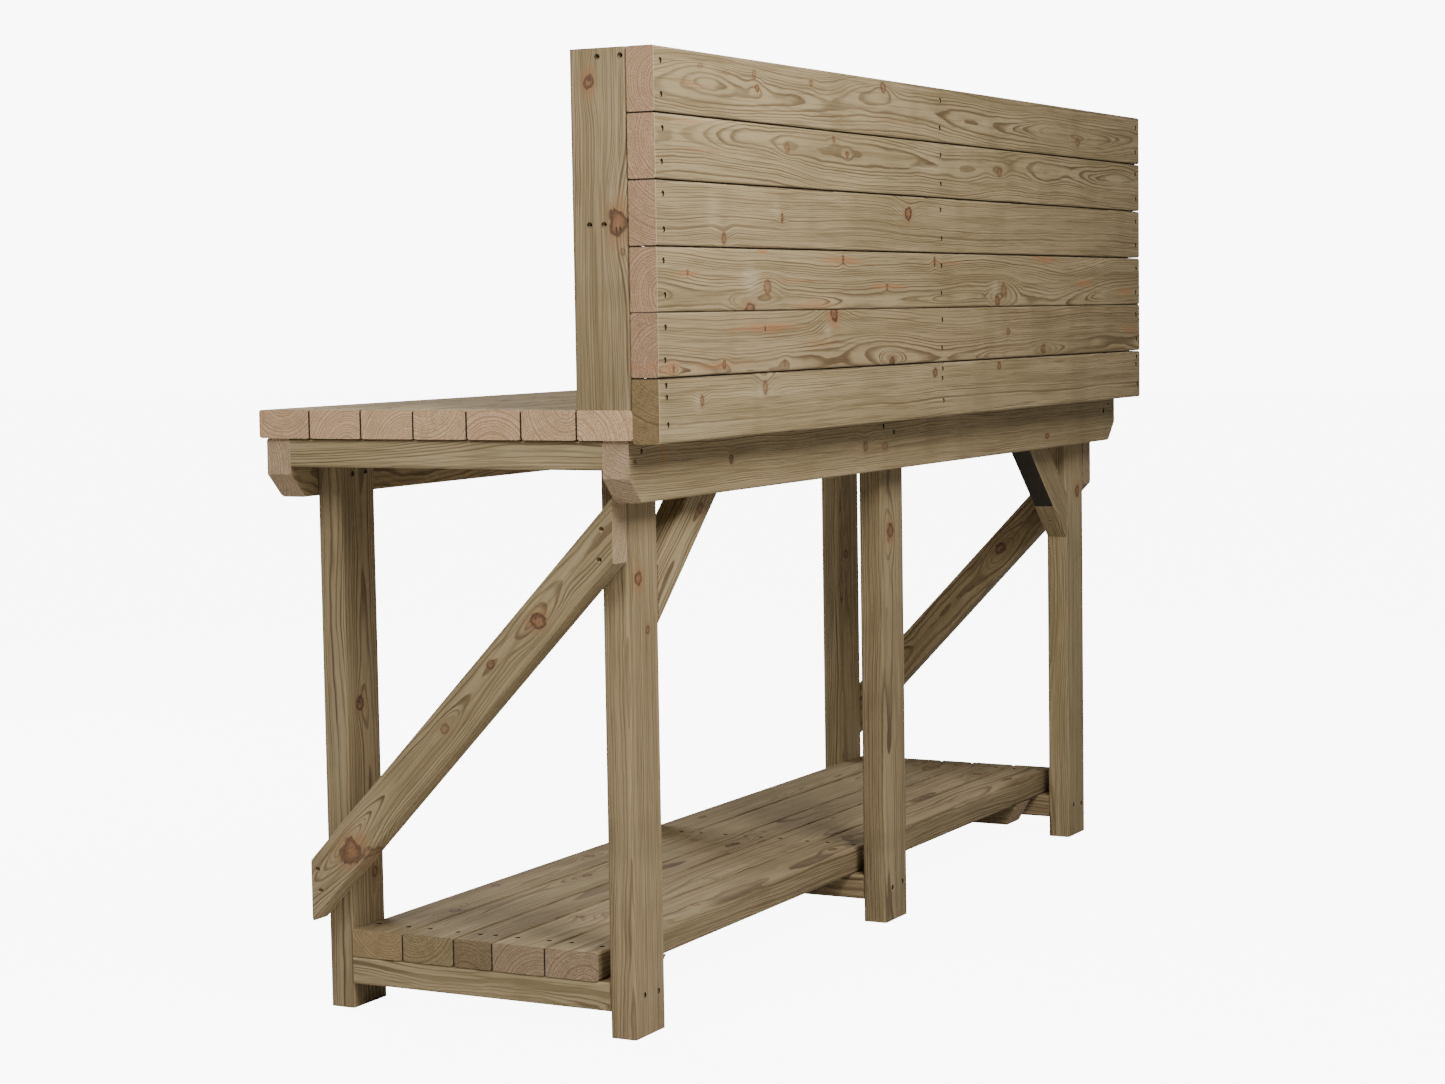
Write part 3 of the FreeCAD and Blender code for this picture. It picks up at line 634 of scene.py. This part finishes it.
def model_screw():
    """A countersunk screw, its head uppermost at the origin, with a six-lobed driving recess."""
    deselect()
    bpy.ops.mesh.primitive_cone_add(
        vertices=HEAD_SIDES, radius1=SHANK_RADIUS, radius2=HEAD_RADIUS, depth=HEAD_RISE,
        end_fill_type="NGON", location=(0, 0, -HEAD_RISE / 2))
    screw = bpy.context.object
    bpy.ops.object.transform_apply(location=True, rotation=True, scale=True)
    bpy.ops.object.mode_set(mode="EDIT")
    bpy.ops.mesh.select_mode(type="FACE")

    # The recess: an inset ring whose every other corner is drawn in, then pushed down.
    select_in_mesh(screw, lambda face: face.normal.z > 0.9)
    bpy.ops.mesh.inset(thickness=RECESS_INSET, depth=0)
    mesh = bmesh.from_edit_mesh(screw.data)
    floor_face = next(face for face in mesh.faces if face.select)
    for number, corner in enumerate(floor_face.verts):
        if number % 2:
            corner.co.x *= LOBE_DRAWN_IN
            corner.co.y *= LOBE_DRAWN_IN
    bmesh.update_edit_mesh(screw.data)
    bpy.ops.mesh.extrude_region_move(TRANSFORM_OT_translate={"value": (0, 0, -RECESS_DEEP)})
    bpy.ops.transform.resize(value=(RECESS_TAPER, RECESS_TAPER, 1), center_override=(0, 0, 0))

    # The shank and its point.
    select_in_mesh(
        screw, lambda face: face.normal.z < -0.9 and face.calc_center_median().z < -HEAD_RISE * 0.9)
    bpy.ops.mesh.extrude_region_move(
        TRANSFORM_OT_translate={"value": (0, 0, HEAD_RISE + POINT_LONG - SCREW_LONG)})
    bpy.ops.mesh.extrude_region_move(TRANSFORM_OT_translate={"value": (0, 0, -POINT_LONG)})
    bpy.ops.transform.resize(value=(POINT_SHARE, POINT_SHARE, 1), center_override=(0, 0, -SCREW_LONG))
    bpy.ops.mesh.select_all(action="SELECT")
    bpy.ops.mesh.normals_make_consistent(inside=False)
    bpy.ops.object.mode_set(mode="OBJECT")
    bpy.ops.object.shade_smooth_by_angle(angle=math.radians(35))
    screw.name = "pattern_screw"
    return screw


def screw_places(name):
    """Where each screw of a group sits: the middle of its head's top, and the way it was driven."""
    mesh = bmesh.new()
    mesh.from_mesh(NODES[name].data)
    bmesh.ops.remove_doubles(mesh, verts=mesh.verts, dist=SAME_CORNER)
    unseen = set(mesh.verts)
    places = []
    while unseen:
        island = [unseen.pop()]
        for corner in island:
            for edge in corner.link_edges:
                other = edge.other_vert(corner)
                if other in unseen:
                    unseen.remove(other)
                    island.append(other)
        spots = [corner.co.copy() for corner in island]
        heart = sum(spots, Vector()) / len(spots)
        tip = max(spots, key=lambda spot: (spot - heart).length)
        driven = (tip - heart).normalized()
        top = tip - driven * max((tip - spot).dot(driven) for spot in spots)
        places.append((top, driven))
    mesh.free()
    places.sort(key=lambda place: tuple(round(value, 3) for value in place[0]))
    return places


STEEL = screw_steel()
pattern_screw = model_screw()
for name in SCREW_GROUPS:
    copies = []
    for number, (top, driven) in enumerate(screw_places(name)):
        copy = pattern_screw.copy()
        copy.data = pattern_screw.data.copy()
        bpy.context.scene.collection.objects.link(copy)
        spin = Matrix.Rotation(TURN_BETWEEN_SCREWS * number, 4, "Z")
        lay = Vector((0, 0, -1)).rotation_difference(driven).to_matrix().to_4x4()
        copy.data.transform(Matrix.Translation(top) @ lay @ spin)
        copies.append(copy)
    deselect()
    for copy in copies:
        copy.select_set(True)
    bpy.context.view_layer.objects.active = copies[0]
    bpy.ops.object.join()
    driven_screws = bpy.context.object
    driven_screws.name = f"driven_{name}"
    driven_screws.data.name = driven_screws.name
    driven_screws.data.materials.clear()
    driven_screws.data.materials.append(STEEL)
    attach(driven_screws, "root")
    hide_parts(name)
bpy.data.objects.remove(pattern_screw)


# ---------------------------------------------------------------- floor, lights and camera

FLOOR_COLOUR = (0.62, 0.62, 0.61, 1)
FLOOR_GLOW = 8.6
SKY_GLOW = 9.0
SKY_LIGHT = 0.12


def plain(name, colour, roughness):
    material = bpy.data.materials.new(name)
    material.use_nodes = True
    shader = material.node_tree.nodes["Principled BSDF"]
    shader.inputs["Base Color"].default_value = colour
    shader.inputs["Roughness"].default_value = roughness
    return material


def seen_brighter(name, wire, surface, strength):
    """Add a plain glow that only the eye meets, so that it lights nothing."""
    glow = wire.node("ShaderNodeEmission")
    straight = wire.node("ShaderNodeLightPath").outputs["Is Camera Ray"]
    wire.feed(glow.inputs["Strength"], wire.sum("MULTIPLY", straight, strength))
    both = wire.node("ShaderNodeAddShader", name=name)
    wire.feed(both.inputs[0], surface)
    wire.feed(both.inputs[1], glow.outputs[0])
    return both.outputs[0]


deselect()
bpy.ops.mesh.primitive_plane_add(size=60, location=(0, 0, 0))
floor = bpy.context.object
floor.name = "floor"
floor.data.materials.append(plain("pale_floor", FLOOR_COLOUR, 0.9))
floor_wire = Wiring(floor.data.materials[0].node_tree)
lit_floor = floor_wire.tree.nodes["Principled BSDF"].outputs[0]
floor_wire.feed(floor_wire.tree.nodes["Material Output"].inputs["Surface"],
                seen_brighter("floor_glow", floor_wire, lit_floor, FLOOR_GLOW))

world = bpy.data.worlds.new("soft_sky")
bpy.context.scene.world = world
world.use_nodes = True
sky_wire = Wiring(world.node_tree)
sky = world.node_tree.nodes["Background"]
sky.inputs["Color"].default_value = (1.0, 1.0, 1.0, 1)
straight = sky_wire.node("ShaderNodeLightPath").outputs["Is Camera Ray"]
sky_wire.feed(sky.inputs["Strength"], sky_wire.sum("MULTIPLY_ADD", straight, SKY_GLOW, SKY_LIGHT))


WARM_WHITE = (1.0, 0.985, 0.955)
PLAIN_WHITE = (1, 1, 1)


def area_light(name, place, aim, size, watts, colour):
    data = bpy.data.lights.new(name, "AREA")
    data.shape = "RECTANGLE"
    data.size, data.size_y = size
    data.energy = watts
    data.color = colour
    lamp = bpy.data.objects.new(name, data)
    bpy.context.scene.collection.objects.link(lamp)
    lamp.location = place
    lamp.rotation_euler = (Vector(aim) - Vector(place)).to_track_quat("-Z", "Y").to_euler()


area_light("key_light", (1.45, 2.0, 2.6), (0.5, 0.3, 0.95), (1.2, 1.2), 84, WARM_WHITE)
area_light("end_light", (3.0, 0.1, 2.9), (1.0, 0.0, 0.9), (1.2, 1.2), 52, WARM_WHITE)
area_light("front_light", (-0.9, -3.4, 2.8), (0.0, 0.0, 0.8), (2.5, 2.0), 130, PLAIN_WHITE)

CAMERA_PLACE = (4.779, 2.405, 1.110)
CAMERA_HEADING = math.radians(207.54)
CAMERA_PITCH = math.radians(-4.56)
CAMERA_ROLL = math.radians(-0.91)
CAMERA_SENSOR_WIDE = 36
CAMERA_LENS = 72.47
camera_data = bpy.data.cameras.new("camera")
camera_data.sensor_width = CAMERA_SENSOR_WIDE
camera_data.lens = CAMERA_LENS
camera = bpy.data.objects.new("camera", camera_data)
bpy.context.scene.collection.objects.link(camera)
forward = Vector((math.cos(CAMERA_PITCH) * math.cos(CAMERA_HEADING),
                  math.cos(CAMERA_PITCH) * math.sin(CAMERA_HEADING), math.sin(CAMERA_PITCH)))
level_right = forward.cross(Vector((0, 0, 1))).normalized()
level_up = level_right.cross(forward)
right = math.cos(CAMERA_ROLL) * level_right + math.sin(CAMERA_ROLL) * level_up
up = math.cos(CAMERA_ROLL) * level_up - math.sin(CAMERA_ROLL) * level_right
pose = Matrix((right, up, -forward)).transposed().to_4x4()
camera.matrix_world = Matrix.Translation(CAMERA_PLACE) @ pose
bpy.context.scene.camera = camera
